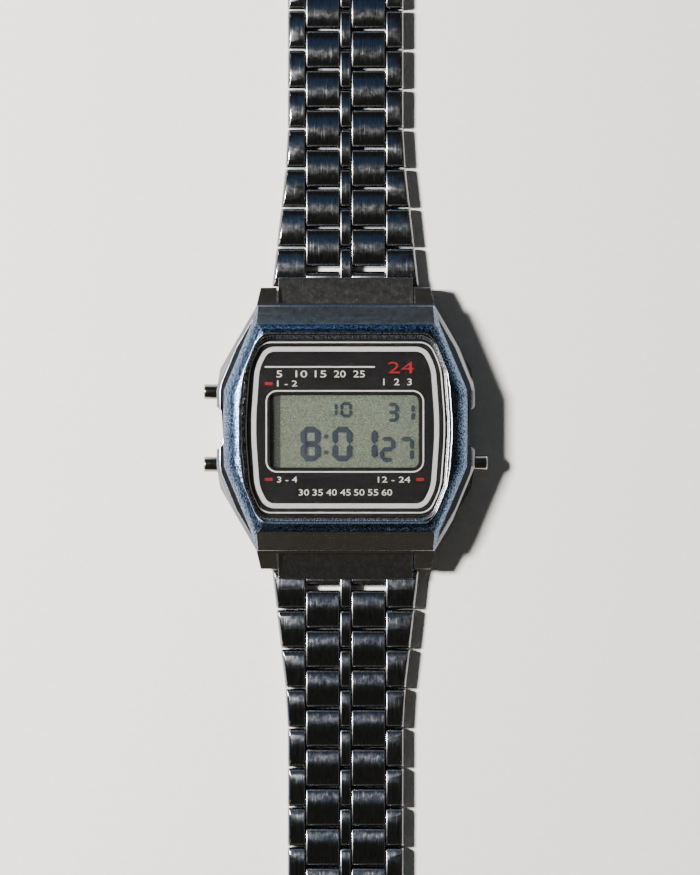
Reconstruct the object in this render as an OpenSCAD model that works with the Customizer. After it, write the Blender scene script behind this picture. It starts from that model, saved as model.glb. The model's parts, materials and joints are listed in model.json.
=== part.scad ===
// Digital wristwatch: a steel case with three side buttons on a five-column link bracelet.
// It lies open and flat on its case back, with the folding clasp closed at the end of one half.
// X points to 3 o'clock, Y to 12 o'clock and Z up through the crystal. Sizes are millimetres.
// The origin is the centre of the outer face of the case back.

/* [Case] */
// Length over the lugs
case_len = 36.8; // [35.5:0.1:39]
// Width over the button guards
case_w = 33.7; // [33.2:0.1:35]
// Width between the guards, at 3 and 9 o'clock
waist_w = 32; // [31.8:0.1:32.6]
// Height from the back to the crest of the bezel
case_h = 8; // [7.9:0.1:9]
// Height of the lower tier, which carries the guards and lugs
tier_z = 4.9; // [4.6:0.1:5.3]
// Gap between a pair of lugs
lug_gap = 18; // [17:0.1:18.6]
// Width of a lug at its tip
lug_tip_w = 2.1; // [1.8:0.1:2.5]
// How much wider a lug is at its root than at its tip
lug_spread = 0.55; // [0.4:0.05:0.7]
// Height of a lug's underside at its tip
lug_foot_z = 1.6; // [1.2:0.1:1.7]
// Height of a lug's top at its tip
lug_tip_z = 4; // [3.8:0.1:4.4]

/* [Button guards] */
// Distance from the middle of a side to each of its two guards
guard_gap = 2.8; // [2.6:0.1:3]
// Distance from the middle of a side at which a guard's widest face ends
guard_face_y = 4.9; // [4.5:0.1:5.2]
// Distance from the middle of a side at which a guard turns in
guard_bend_y = 7.8; // [7.4:0.1:8.2]
// How far a guard has drawn in where it turns
guard_bend_in = 0.44; // [0.3:0.02:0.6]
// Distance from the middle of a side at which a guard ends
guard_end_y = 14; // [13.6:0.1:14.4]
// How far a guard has drawn in at its end
guard_end_in = 4.05; // [3.9:0.05:4.2]
// Chamfer along a guard's upper edge
guard_chamfer = 0.45; // [0.2:0.05:0.5]
// Chamfer along a guard's lower edge
guard_foot = 0.6; // [0.3:0.05:0.7]

/* [Bezel] */
// Width of the bezel
bezel_w = 31.8; // [31.2:0.1:32]
// Length of the bezel's raised ring
bezel_len = 27; // [26.4:0.1:27.4]
// How far the ring's outer edge has drawn in at its corners
bezel_corner_in = 3.6; // [3.4:0.05:3.7]
// Slope of the middle of the ring's rounded flank, from the horizontal
bezel_slope = 40; // [36:1:44]
// Width of the rounded flank at 3 and 9 o'clock, seen from above
bezel_flank_w = 1.95; // [1.8:0.05:2]
// Width of the rounded flank at 6 and 12 o'clock, seen from above
bezel_end_flank_w = 1.1; // [0.9:0.05:1.15]
// Chamfer round the crystal's opening
bezel_lip = 0.3; // [0.15:0.05:0.35]
// Height of the far edge of the flat slopes at 6 and 12 o'clock
end_slope_z = 5.9; // [5.6:0.1:6.3]

/* [Crystal and dial] */
// Width of the crystal's opening
glass_w = 27; // [26.4:0.1:27.4]
// Length of the crystal's opening
glass_len = 24; // [23.6:0.1:24.4]
// Corner radius of the opening
glass_r = 2.4; // [1.5:0.1:3]
// Thickness of the crystal
glass_t = 1.2; // [0.8:0.1:1.3]
// Depth of the crystal's face below the crest
glass_sink = 0.35; // [0.1:0.05:0.6]
// Width of the seat under the crystal's edge
glass_seat = 0.25; // [0.2:0.05:0.5]
// Thickness of the dial plate
dial_t = 0.4; // [0.3:0.05:0.5]
// Width of the display window in the dial
window_w = 19.4; // [18:0.1:20]
// Length of the display window in the dial
window_len = 9.45; // [8.5:0.05:10]
// Play round the crystal, the dial and the parts of the movement
seat_play = 0.1; // [0.05:0.01:0.15]

/* [Movement] */
// Width of the cavity for the movement
cavity_w = 24.8; // [24.4:0.1:25]
// Length of the cavity for the movement
cavity_len = 21.2; // [21.2:0.1:21.6]
// Cut across each corner of the cavity
cavity_cut = 4; // [3:0.1:4.5]
// Wall of the plastic movement frame
frame_wall = 0.3; // [0.2:0.05:0.3]
// Room beside the coin cell, for the lamp, the contacts and the buzzer's spring
cell_side_room = 2.4; // [2.3:0.05:2.6]
// Room beyond the coin cell, for the ends of its clip
cell_end_room = 0.6; // [0.5:0.05:0.8]
// Thickness of the coin cell
cell_t = 1.6; // [1.2:0.1:1.6]
// Thickness of the circuit board
board_t = 0.6; // [0.4:0.1:0.7]
// Thickness of the display panel, both glasses
panel_t = 1.1; // [0.8:0.1:1.2]
// Width of the battery clip
clip_w = 5; // [3:0.1:6]

/* [Case back] */
// Thickness of the back's flange
back_t = 0.8; // [0.6:0.1:1]
// Width of the back
back_w = 27.8; // [27:0.1:28.2]
// Length of the back
back_len = 25.2; // [24.6:0.1:25.4]
// Distance of each screw from the back's edges
screw_inset = 1.75; // [1.5:0.05:1.9]
// Diameter of a screw's head
screw_head_d = 1.8; // [1.5:0.1:2]
// Diameter of a screw's thread
screw_d = 1; // [0.8:0.1:1.2]
// Height of a screw's head
screw_head_t = 0.43; // [0.35:0.01:0.5]
// Length of a screw's thread above the back's flange
screw_reach = 2; // [1.5:0.1:2.5]
// Width of the gasket's section
gasket_w = 0.5; // [0.4:0.05:0.6]

/* [Buttons] */
// Diameter of a button's head
button_d = 2; // [1.6:0.05:2.1]
// How far a button stands out of the guard
button_proud = 1.7; // [1.4:0.1:2]
// Travel of a button
button_travel = 0.8; // [0.5:0.1:0.9]
// Height of the buttons' axes
button_z = 3; // [2.9:0.05:3.2]
// Diameter of a button's stem
stem_d = 1; // [0.8:0.1:1.1]
// Running clearance round the head and the stem
button_play = 0.06; // [0.04:0.01:0.1]
// Wire diameter of a button's spring
button_wire = 0.14; // [0.1:0.01:0.16]
// Length of a button's spring when the button is pressed
spring_pressed_len = 1; // [0.8:0.05:1.1]
// Width of a button's seal
seal_w = 0.4; // [0.3:0.05:0.5]
// Case wall left outside a button's seal
seal_lip = 0.3; // [0.25:0.05:0.4]
// Reach of a button's retaining clip past the stem, all round
clip_reach = 0.35; // [0.25:0.05:0.4]

/* [Spring bars] */
// Distance of the bars from the ends of the case
bar_setback = 2.5; // [2.4:0.05:2.6]
// Height of the bars' axes
bar_z = 2.5; // [2.4:0.05:2.6]
// Diameter of a bar's tube
bar_d = 1.5; // [1.2:0.1:1.6]
// Diameter of a bar's tips
bar_tip_d = 0.8; // [0.6:0.1:1]
// Reach of a bar's tips into the lugs
bar_reach = 1; // [0.8:0.1:1.2]

/* [Bracelet] */
// Distance between every second pin, which is one link
pitch = 5.2; // [5.1:0.05:5.4]
// Length of one link piece
piece_len = 5; // [4.8:0.02:5]
// Thickness of the bracelet
link_h = 2.4; // [2.3:0.05:2.5]
// Radius of the dome over each piece, along the bracelet
dome_r = 9; // [7:0.5:14]
// Corner radius of a piece's upper ends
top_r = 0.9; // [0.8:0.05:1]
// Corner radius of a piece's lower ends
foot_r = 0.55; // [0.5:0.05:0.7]
// Rounding of the bracelet's long outer edges
edge_r = 0.8; // [0.5:0.05:0.9]
// Width of the centre column
centre_w = 1.3; // [1.1:0.1:1.5]
// Width of each of the two middle columns
middle_w = 4.3; // [4:0.1:4.5]
// Gap between columns
column_gap = 0.2; // [0.15:0.05:0.25]
// Width of the bracelet away from the case
band_w = 15.2; // [14.8:0.1:15.6]
// Width of the bracelet at its first link
band_root_w = 19; // [18:0.1:19.4]
// Length over which the bracelet narrows
taper_len = 17; // [12:0.5:24]
// Diameter of the bracelet's pins
pin_d = 0.9; // [0.7:0.05:1]
// Radial clearance of a pin in its links
pin_play = 0.05; // [0.04:0.01:0.08]
// Links on the 12 o'clock half
links_12 = 10; // [8:1:10]
// Links on the 6 o'clock half
links_6 = 12; // [10:1:12]

/* [End links] */
// Play of an end link between the lugs, on each side
end_play = 0.2; // [0.1:0.05:0.3]
// Radius of an end link's barrel round the spring bar
barrel_r = 1.3; // [1.2:0.05:1.35]
// Distance from the spring bar to the bracelet's first pin
end_reach = 3.95; // [3.9:0.05:4.2]

// Thickness of an end link's skin over the bracelet's first pieces
end_skin_t = 0.33; // [0.25:0.01:0.35]
// Radius of an end link's tab round the bracelet's first pin
end_tab_r = 0.8; // [0.75:0.05:0.85]

/* [Clasp] */
// Length of the cover, between its two hinges
cover_len = 27.5; // [26:0.5:32]
// Length of the cover's sloping nose
nose_len = 4.6; // [4.3:0.1:4.9]
// Height of the closed clasp
clasp_h = 4.9; // [4.8:0.1:5.4]
// Sheet thickness of the clasp
sheet_t = 0.5; // [0.4:0.05:0.6]
// Play beside the bracelet and between the clasp's parts
clasp_play = 0.15; // [0.1:0.01:0.2]
// Length of the slide
slide_len = 6.4; // [5.5:0.1:7]
// Distance from the cover's first hinge to the slide
slide_start = 5; // [5:0.1:6]
// Height of the hinge that the blade folds about
fold_z = 0.9; // [0.9:0.05:1]
// Diameter of the clasp's pins
clasp_pin_d = 0.7; // [0.6:0.05:0.8]

/* [Hidden] */
$fn = 64;
SIDES = ["12", "6"];
BUTTONS = [["upper_left", -1, 4.8], ["lower_left", -1, -4.7], ["lower_right", 1, -4.5]];

function two(n) = n < 10 ? str("0", n) : str(n);
function link_name(side, n) = str("link_", side, "_", two(n));
function link_count(side) = side == "12" ? links_12 : links_6;

// Reach of a cutting shape past what it cuts
over = 1;
// Half the case's length and the places that follow the spring bars
tip_y = case_len / 2;
bar_y = tip_y - bar_setback;
ledge_y = bar_y + 0.05;
lip_y = bar_y + 0.4;
// Room round an end link's barrel, and the case wall behind it
barrel_room_r = barrel_r + 0.15;
lug_x = lug_gap / 2;
lug_root_x = lug_x + lug_tip_w + lug_spread;

// Heights of the parts stacked inside the case
glass_top_z = case_h - glass_sink;
seat_z = glass_top_z - glass_t - 0.05;
dial_z = seat_z - dial_t - 0.05;
pan_top_z = back_t + 0.3;
buzzer_top_z = pan_top_z + 0.2;
clip_z = buzzer_top_z + 0.06;
clip_t = 0.14;
cell_z = clip_z + clip_t + 0.04;
board_z = cell_z + cell_t + 0.1;
board_top_z = board_z + board_t;
panel_z = dial_z - panel_t - 0.1;
frame_z = cell_z;
frame_top_z = dial_z - 0.05;

// Places inside the case
cavity_x = cavity_w / 2;
recess_w = cavity_w - 2 * seat_play - 4 * frame_wall;
recess_len = cavity_len - 2 * seat_play - 2 * frame_wall;
cell_d = min(cavity_w - 2 * cell_side_room, cavity_len - 2 * cell_end_room);
cell_x = -1;
buzzer_r = 7.2;
buzzer_x = cavity_x - buzzer_r - 0.8;
buzzer_spring_x = cavity_x - 2.25;
lamp_x = -cavity_x + 0.95;
contact_x = cavity_x - 2.05;
window_x = -0.1;
window_y = -0.375;
panel_w = window_w + 2.4;
panel_len = window_len + 4.35;
connector_len = panel_w - 2.8;
connector_w = 1.2;
connector_y = panel_len / 2 - 0.7 - connector_w / 2;

// Buttons, measured outwards from the middle of the case
guard_x = case_w / 2;
button_tip_x = guard_x + button_proud;
seal_x = guard_x - seal_lip - seal_w;
head_x = seal_x - 0.55;
spring_len = spring_pressed_len + button_travel;
spring_seat_x = head_x - spring_len;
clip_x = cavity_x - 0.05;
clip_disc_t = 0.25;
clip_r = stem_d / 2 + clip_reach;
stem_tip_x = clip_x - clip_disc_t - 0.4;

// Bracelet
first_pin_y = bar_y + end_reach;
pin_z = link_h / 2;
pin_r = pin_d / 2;
half_pitch = pitch / 2;
middle_x = centre_w / 2 + column_gap;
outer_x = middle_x + middle_w + column_gap;
// Radius swept by the end of a piece round its pin, with room to spare
knuckle_room = 0.1;
knuckle_r = norm([(piece_len - half_pitch) / 2 - top_r, link_h - pin_z - top_r])
    + top_r + knuckle_room;

// Clasp
clasp_y = first_pin_y + links_12 * pitch;
fold_y = clasp_y + cover_len;
slide_in_x = band_w / 2 + clasp_play;
slide_out_x = slide_in_x + sheet_t;
cover_in_x = slide_out_x + clasp_play;
cover_out_x = cover_in_x + sheet_t;
cover_under_z = clasp_h - sheet_t;
nose_z = pin_z + knuckle_r + 0.05;
slide_top_z = cover_under_z - clasp_play / 2;
slot_z = slide_top_z - 0.4 - link_h - 0.15;
slide_y = clasp_y + slide_start;
slide_end_y = slide_y + slide_len;
slide_pin_y = slide_end_y + 0.9;
slide_pin_z = 0.85;
cheek_x = 7;
cheek_t = 0.6;
blade_x = cheek_x - 0.1;
blade_roll_r = 0.75;
lock_pin_y = slide_y + 0.65;
lock_pin_z = 0.5;
lock_roll_r = 0.4;
slide_floor_z = lock_pin_z + lock_roll_r + 0.05;

// Half the bracelet's width at a distance from its first pin
function half_width(s) = band_w / 2 + (band_root_w - band_w) / 2 * max(0, 1 - s / taper_len);

// Outlines

module both_ways() {
    children();
    mirror([1, 0, 0]) children();
}

// A quarter outline, from 12 to 3 o'clock, made whole by mirroring its points
function whole(quarter) = concat(
    quarter,
    [for (i = [len(quarter) - 1:-1:0]) [quarter[i][0], -quarter[i][1]]],
    [for (p = quarter) [-p[0], -p[1]]],
    [for (i = [len(quarter) - 1:-1:0]) [-quarter[i][0], quarter[i][1]]]);

// Outline of the lower tier, with the lugs and the two guards on each side
module tier_outline() {
    polygon(whole([
        [lug_x + lug_tip_w, tip_y],
        [lug_root_x, ledge_y],
        [guard_x - guard_end_in, guard_end_y],
        [guard_x - guard_bend_in, guard_bend_y],
        [guard_x, guard_face_y],
        [guard_x, guard_gap],
        [waist_w / 2 + 0.15, guard_gap - 0.55],
        [waist_w / 2, guard_gap - 0.9]]));
}

// Outline of the upper tier, from the end slopes round the bezel's long sides
module bezel_outline() {
    polygon(whole([
        [lug_root_x - 0.05, ledge_y],
        [bezel_w / 2 - bezel_corner_in, bezel_len / 2 - 0.05],
        [bezel_w / 2 - 0.1, 5],
        [bezel_w / 2, 2]]));
}

// Outline of the crystal's opening, drawn in by an inset
module glass_outline(inset) {
    offset(r = glass_r)
        offset(delta = -glass_r - inset)
            polygon(whole([
                [glass_w / 2 - 2.3, glass_len / 2],
                [glass_w / 2 - 0.45, glass_len / 2 - 4.6],
                [glass_w / 2, 1]]));
}

// Rectangle with its corners cut and a little rounded
module cut_rectangle(w, l, cut, r = 0.5) {
    offset(r = r)
        offset(delta = -r)
            polygon(whole([[w / 2 - cut, l / 2], [w / 2, l / 2 - cut]]));
}

// Cylinder along X between two places
module rod(r, x0, x1) {
    translate([x0, 0, 0]) rotate([0, 90, 0]) cylinder(r = r, h = x1 - x0);
}

// Side outline in Y and Z, extruded along X between two places
module along_x(x0, x1) {
    translate([x0, 0, 0]) rotate([90, 0, 90]) linear_extrude(x1 - x0) children();
}

// Solid of revolution about X, from a profile of distance along X against radius
module turned(profile) {
    rotate([0, 90, 0]) rotate_extrude() polygon([for (p = profile) [p[1], p[0]]]);
}

// Wire wound round the Z axis from height 0, as one unbroken tube
module coil(mean_r, wire_r, height, turns, sides = 6, steps = 16) {
    count = turns * steps;
    rise = height - 2 * wire_r;
    points = [for (i = [0:count], j = [0:sides - 1])
        let (turn = 360 * i / steps, round = 360 * j / sides, r = mean_r + wire_r * cos(round))
            [r * cos(turn), r * sin(turn), wire_r + rise * i / count + wire_r * sin(round)]];
    walls = [for (i = [0:count - 1], j = [0:sides - 1])
        let (a = i * sides + j, b = i * sides + (j + 1) % sides)
            each [[a, a + sides, b], [b, a + sides, b + sides]]];
    start = [[for (j = [0:sides - 1]) j]];
    end = [[for (j = [sides - 1:-1:0]) count * sides + j]];
    polyhedron(points, concat(walls, start, end));
}

// Case

// Side profile of the case, along Y: bezel crest, end slope, ledge and lug
module case_profile() {
    ring_y = bezel_len / 2;
    upper_w = bezel_end_flank_w * 0.45;
    upper_z = case_h - upper_w * tan(bezel_slope - 20);
    polygon(whole_width([
        [ring_y - bezel_end_flank_w, case_h],
        [ring_y - bezel_end_flank_w + upper_w, upper_z],
        [ring_y, upper_z - (bezel_end_flank_w - upper_w) * tan(bezel_slope)],
        [ledge_y, end_slope_z],
        [ledge_y + 0.02, tier_z],
        [lip_y, tier_z - 0.05],
        [tip_y, lug_tip_z],
        [tip_y, lug_foot_z],
        [bar_y - 1.2, back_t]]));
}

// A profile on the positive side, made whole by mirroring it in the first coordinate
function whole_width(half) = concat(
    half, [for (i = [len(half) - 1:-1:0]) [-half[i][0], half[i][1]]]);

// Front profile of the case, along X: the flanks draw in towards the back
module flank_profile() {
    polygon(whole_width([
        [guard_x + over, case_h + over],
        [guard_x + over, back_t + guard_foot + over],
        [guard_x - guard_foot, back_t]]));
}

// Space above a slanting face. A line of the face lies at a distance in a direction and at a
// height, and along that line the space runs between two places.
module above_face(direction, distance, height, slope, start = -20, end = 20) {
    rotate([0, 0, direction])
        translate([distance, 0, height])
            rotate([0, slope, 0])
                translate([-20, start, 0]) cube([40, end - start, 10]);
}

// Space above a flank of the bezel's ring, rounded in three steps from the crest down to an
// outer edge that lies at a distance in a direction
module above_flank(direction, distance) {
    crest = distance - bezel_flank_w;
    step_a = bezel_flank_w * 0.3;
    step_b = bezel_flank_w * 0.74;
    z_a = case_h - step_a * tan(bezel_slope - 20);
    z_b = z_a - (step_b - step_a) * tan(bezel_slope);
    above_face(direction, crest, case_h, bezel_slope - 20);
    above_face(direction, crest + step_a, z_a, bezel_slope);
    above_face(direction, crest + step_b, z_b, bezel_slope + 20);
}

// Space above the chamfers on a guard's two slanting faces, from the widest face to the lug
module above_guard() {
    bend_x = guard_x - guard_bend_in;
    edge_z = tier_z - guard_chamfer;
    near = atan(guard_bend_in / (guard_bend_y - guard_face_y));
    far = atan((guard_end_in - guard_bend_in) / (guard_end_y - guard_bend_y));
    above_face(near, bend_x * cos(near) + guard_bend_y * sin(near), edge_z, 45);
    above_face(far, bend_x * cos(far) + guard_bend_y * sin(far), edge_z, 45,
        end = ledge_y * cos(far) - lug_root_x * sin(far));
}

// Lower tier, with the lugs and the guards
module tier() {
    difference() {
        translate([0, 0, back_t]) linear_extrude(tier_z - back_t) tier_outline();
        both_ways() above_face(0, guard_x, tier_z - guard_chamfer, 45);
        for (up = [0, 1]) mirror([0, up, 0]) both_ways() above_guard();
    }
}

module case_blank() {
    intersection() {
        union() {
            tier();
            translate([0, 0, back_t]) linear_extrude(case_h - back_t) bezel_outline();
        }
        along_x(-guard_x - over, guard_x + over) case_profile();
        rotate([90, 0, 0]) linear_extrude(case_len + 2 * over, center = true) flank_profile();
    }
}

// Space over the chamfer round the crystal's opening
module opening_chamfer() {
    reach = 0.5;
    hull() {
        translate([0, 0, case_h - bezel_lip - reach]) linear_extrude(0.01) glass_outline(reach);
        translate([0, 0, case_h + reach]) linear_extrude(0.01) glass_outline(-bezel_lip - reach);
    }
}

module button_bore(b) {
    mirror([b[1] < 0 ? 1 : 0, 0, 0])
        translate([0, b[2], button_z]) {
            rod(stem_d / 2 + button_play, cavity_x - over, spring_seat_x + 0.1);
            rod(button_d / 2 + button_play, spring_seat_x, guard_x + over);
            rod(button_d / 2 + 0.3, seal_x, seal_x + seal_w);
        }
}

module lug_space() {
    translate([-lug_x, lip_y, -over]) cube([lug_gap, 5, case_h + 2 * over]);
    translate([-lug_x, bar_y - barrel_room_r, -over]) cube([lug_gap, 5, bar_z + over]);
    translate([0, bar_y, bar_z]) {
        rod(barrel_room_r, -lug_x, lug_x);
        rod(bar_tip_d / 2 + 0.03, -lug_x - bar_reach - 0.1, lug_x + bar_reach + 0.1);
    }
}

module case() {
    color("#4a4d52") difference() {
        case_blank();
        for (turn = [0, 180]) {
            rotate([0, 0, turn]) above_flank(0, bezel_w / 2 - 0.05);
            for (tilt = [-22.5, 22.5]) above_flank(turn + tilt, bezel_w / 2 + 0.6);
        }
        translate([0, 0, seat_z]) linear_extrude(5) glass_outline(0);
        opening_chamfer();
        translate([0, 0, dial_z]) linear_extrude(5) glass_outline(glass_seat);
        linear_extrude(dial_z + 0.1) cut_rectangle(cavity_w, cavity_len, cavity_cut);
        translate([0, 0, back_t - 0.1]) gasket_ring(0.05, gasket_w + 0.15);
        screw_places() cylinder(d = screw_d + 0.04, h = back_t + screw_reach + 0.2);
        for (b = BUTTONS) button_bore(b);
        for (turn = [0, 180]) rotate([0, 0, turn]) lug_space();
    }
}

module crystal() {
    color("#9fb3bd", 0.4) translate([0, 0, glass_top_z - glass_t])
        linear_extrude(glass_t) glass_outline(seat_play);
}

// Dial and movement

module dial_plate() {
    color("#17181a") translate([0, 0, dial_z + 0.02]) linear_extrude(dial_t)
        difference() {
            glass_outline(glass_seat + seat_play);
            translate([window_x, window_y]) square([window_w, window_len], center = true);
        }
}

module lcd_panel() {
    half_t = panel_t / 2;
    color("#8f9281") translate([window_x, window_y, panel_z]) {
        translate([-panel_w / 2, -panel_len / 2, 0]) cube([panel_w, panel_len, half_t]);
        translate([-panel_w / 2, -panel_len / 2 + 1, half_t])
            cube([panel_w, panel_len - 2, half_t]);
    }
}

module lcd_connectors() {
    color("#c9a4a0") for (side = [-1, 1])
        translate([-connector_len / 2, window_y + side * connector_y - connector_w / 2, board_top_z])
            cube([connector_len, connector_w, panel_z - board_top_z]);
}

// Plan of the movement frame's outer wall
module frame_outline(inset) {
    offset(delta = -inset) cut_rectangle(cavity_w - 2 * seat_play, cavity_len - 2 * seat_play,
                                         cavity_cut);
}

// Room that each button's stem, clip and contact need inside the cavity
module stem_room() {
    half = clip_r + 0.3;
    for (b = BUTTONS)
        mirror([b[1] < 0 ? 1 : 0, 0, 0])
            translate([contact_x - 0.45, b[2] - half, button_z - half])
                cube([3, 2 * half, 2 * half]);
}

module module_frame() {
    floor_z = board_top_z + 0.05;
    color("#2b2c2e") difference() {
        translate([0, 0, frame_z]) linear_extrude(frame_top_z - frame_z) frame_outline(0);
        translate([0, 0, frame_z - over]) linear_extrude(floor_z - frame_z + over)
            intersection() {
                frame_outline(frame_wall);
                square([recess_w, recess_len], center = true);
            }
        translate([window_x - panel_w / 2 - seat_play, window_y - panel_len / 2 - seat_play,
                   panel_z - 0.05])
            cube([panel_w + 2 * seat_play, panel_len + 2 * seat_play, 5]);
        for (side = [-1, 1])
            translate([-connector_len / 2 - seat_play,
                       window_y + side * connector_y - connector_w / 2 - seat_play, board_z])
                cube([connector_len + 2 * seat_play, connector_w + 2 * seat_play, 3]);
        translate([-8, -4, board_z]) cube([16, 8, 3]);
        translate([lamp_x - 0.55, -1, panel_z - 0.05]) cube([2, 2, 5]);
        translate([cell_x - clip_w / 2 - 0.2, -cavity_len, frame_z - over])
            cube([clip_w + 0.4, 2 * cavity_len, board_z - frame_z + over]);
        stem_room();
    }
}

module circuit_board() {
    color("#1f5a3c") difference() {
        translate([0, 0, board_z]) linear_extrude(board_t)
            intersection() {
                frame_outline(frame_wall + seat_play);
                square([recess_w - 2 * seat_play, recess_len - 2 * seat_play], center = true);
            }
        stem_room();
    }
    color("#101114") translate([2, 0, board_top_z]) intersection() {
        translate([0, 0, -4.4]) sphere(r = 5, $fn = 48);
        cylinder(r = 3, h = 1);
    }
}

module lamp() {
    color("#d8d3a8") translate([lamp_x, 0, panel_z]) {
        translate([-0.35, -0.8, 0]) cube([0.7, 1.6, 0.5]);
        translate([0, 0, 0.5]) cylinder(d = 0.6, h = 0.3);
    }
}

module battery() {
    color("#b9bcc0") translate([cell_x, 0, cell_z]) rotate_extrude(convexity = 4)
        polygon([[0, 0], [cell_d / 2 - 1.2, 0], [cell_d / 2 - 1.2, 0.15], [cell_d / 2 - 0.4, 0.25],
                 [cell_d / 2, 0.6], [cell_d / 2, cell_t - 0.15], [cell_d / 2 - 0.15, cell_t],
                 [0, cell_t]]);
}

module battery_clip() {
    reach = cavity_len / 2 - seat_play - 0.05;
    color("#c0c2c4") translate([cell_x, 0, clip_z]) {
        translate([-clip_w / 2, -reach, 0]) cube([clip_w, 2 * reach, clip_t]);
        for (turn = [0, 180]) rotate([0, 0, turn])
            translate([-clip_w / 2, reach - clip_t, 0]) cube([clip_w, clip_t, cell_t]);
    }
}

module buzzer_disc() {
    color("#c8a75a") translate([buzzer_x, 0, pan_top_z]) {
        cylinder(r = buzzer_r, h = 0.1);
        cylinder(r = buzzer_r - 2.4, h = 0.2);
    }
}

module buzzer_spring() {
    color("#caa64e") translate([buzzer_spring_x, 0, pan_top_z + 0.12])
        coil(0.65, 0.09, board_z - pan_top_z - 0.14, 4);
}

module switch_contacts() {
    color("#caa64e") for (b = BUTTONS)
        mirror([b[1] < 0 ? 1 : 0, 0, 0]) translate([contact_x, b[2] - 0.6, board_z - 1.2]) {
            cube([0.12, 1.2, 1.2]);
            translate([-0.6, 0, 1.12]) cube([0.7, 1.2, 0.08]);
        }
}

// Case back

// Gasket's plan, grown by a clearance, extruded to a height
module gasket_ring(grow, height) {
    linear_extrude(height) difference() {
        offset(delta = 0.35 + gasket_w + grow) cut_rectangle(cavity_w, cavity_len, cavity_cut);
        offset(delta = 0.35 - grow) cut_rectangle(cavity_w, cavity_len, cavity_cut);
    }
}

module screw_places() {
    for (x = [-1, 1], y = [-1, 1])
        translate([x * (back_w / 2 - screw_inset), y * (back_len / 2 - screw_inset), 0]) children();
}

module back_gasket() {
    color("#202020") translate([0, 0, back_t]) gasket_ring(0, gasket_w);
}

module case_back() {
    color("#8b8e92") difference() {
        union() {
            linear_extrude(back_t) cut_rectangle(back_w, back_len, 1.6, 1.2);
            linear_extrude(pan_top_z)
                cut_rectangle(cavity_w - 0.4, cavity_len - 0.4, cavity_cut);
        }
        screw_places() {
            cylinder(d = screw_d + 0.1, h = 3 * back_t, center = true);
            cylinder(d = screw_head_d + 0.1, h = 2 * (screw_head_t + 0.07), center = true);
        }
    }
}

module back_screws() {
    color("#a6a9ad") screw_places() difference() {
        union() {
            translate([0, 0, 0.05]) cylinder(d = screw_head_d, h = screw_head_t);
            translate([0, 0, 0.05]) cylinder(d = screw_d, h = back_t + screw_reach - 0.05);
        }
        for (turn = [0, 90]) rotate([0, 0, turn])
            cube([0.6 * screw_head_d, 0.24, 1.3 * screw_head_t], center = true);
    }
}

// Buttons

module at_button(b) {
    mirror([b[1] < 0 ? 1 : 0, 0, 0]) translate([0, b[2], button_z]) children();
}

module button(b) {
    r = button_d / 2;
    s = stem_d / 2;
    color("#3c3e42") at_button(b) turned([
        [stem_tip_x, 0], [stem_tip_x, s - 0.1], [stem_tip_x + 0.1, s],
        [clip_x - clip_disc_t - 0.02, s], [clip_x - clip_disc_t - 0.02, s - 0.15],
        [clip_x + 0.02, s - 0.15], [clip_x + 0.02, s],
        [head_x, s], [head_x, r],
        [button_tip_x - 0.12, r], [button_tip_x, r - 0.12], [button_tip_x, 0]]);
}

module button_spring(b) {
    color("#b4b6b8") at_button(b)
        translate([spring_seat_x + 0.04, 0, 0]) rotate([0, 90, 0])
            coil(stem_d / 2 + 0.25, button_wire / 2, spring_len - 0.08, 4);
}

module button_clip(b) {
    color("#9a9da0") at_button(b) difference() {
        rod(clip_r, clip_x - clip_disc_t, clip_x);
        rod(stem_d / 2 - 0.14, clip_x - 1, clip_x + 1);
        translate([clip_x - 1, -0.3, 0]) cube([2, 0.6, 2]);
    }
}

module button_seals() {
    color("#1c1c1c") for (b = BUTTONS) at_button(b) difference() {
        rod(button_d / 2 + 0.28, seal_x + 0.02, seal_x + seal_w - 0.02);
        rod(button_d / 2 + 0.03, seal_x - 1, seal_x + 2);
    }
}

// Spring bars and end links

module at_side(side) {
    mirror([0, side == "6" ? 1 : 0, 0]) children();
}

module spring_bar(side) {
    tube_x = lug_x - 0.35;
    color("#8f9296") at_side(side) translate([0, bar_y, bar_z]) {
        rod(bar_d / 2, -tube_x, tube_x);
        both_ways() {
            turned([[tube_x, 0], [tube_x, bar_d / 2 - 0.2], [lug_x - 0.05, bar_d / 2 - 0.2],
                    [lug_x - 0.05, bar_tip_d / 2], [lug_x + bar_reach - 0.1, bar_tip_d / 2],
                    [lug_x + bar_reach, bar_tip_d / 2 - 0.1], [lug_x + bar_reach, 0]]);
        }
    }
}

// Side outline of an end link: a rolled barrel, a skin over the first pieces and a pin tab
module end_outline() {
    edge_y = first_pin_y - 0.1;
    edge_z = pin_z + knuckle_r + end_skin_t;
    translate([bar_y, bar_z]) circle(barrel_r);
    translate([first_pin_y, pin_z]) circle(end_tab_r);
    polygon([[bar_y, bar_z + barrel_r], [bar_y + 0.4, bar_z + barrel_r - 0.06],
             [edge_y - 0.2, edge_z], [edge_y, edge_z - 0.12], [edge_y, pin_z + knuckle_r],
             [edge_y, pin_z + end_tab_r - 0.04], [first_pin_y, pin_z + end_tab_r],
             [first_pin_y, pin_z - end_tab_r],
             [bar_y, bar_z - barrel_r]]);
}

// Side outline of the room that a first piece needs under an end link's skin
module piece_room() {
    translate([first_pin_y, pin_z]) circle(knuckle_r);
    translate([first_pin_y - knuckle_r, -over]) square([knuckle_r * 3, pin_z + over]);
    translate([first_pin_y, -over]) square([4, pin_z + knuckle_r + over]);
}

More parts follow.
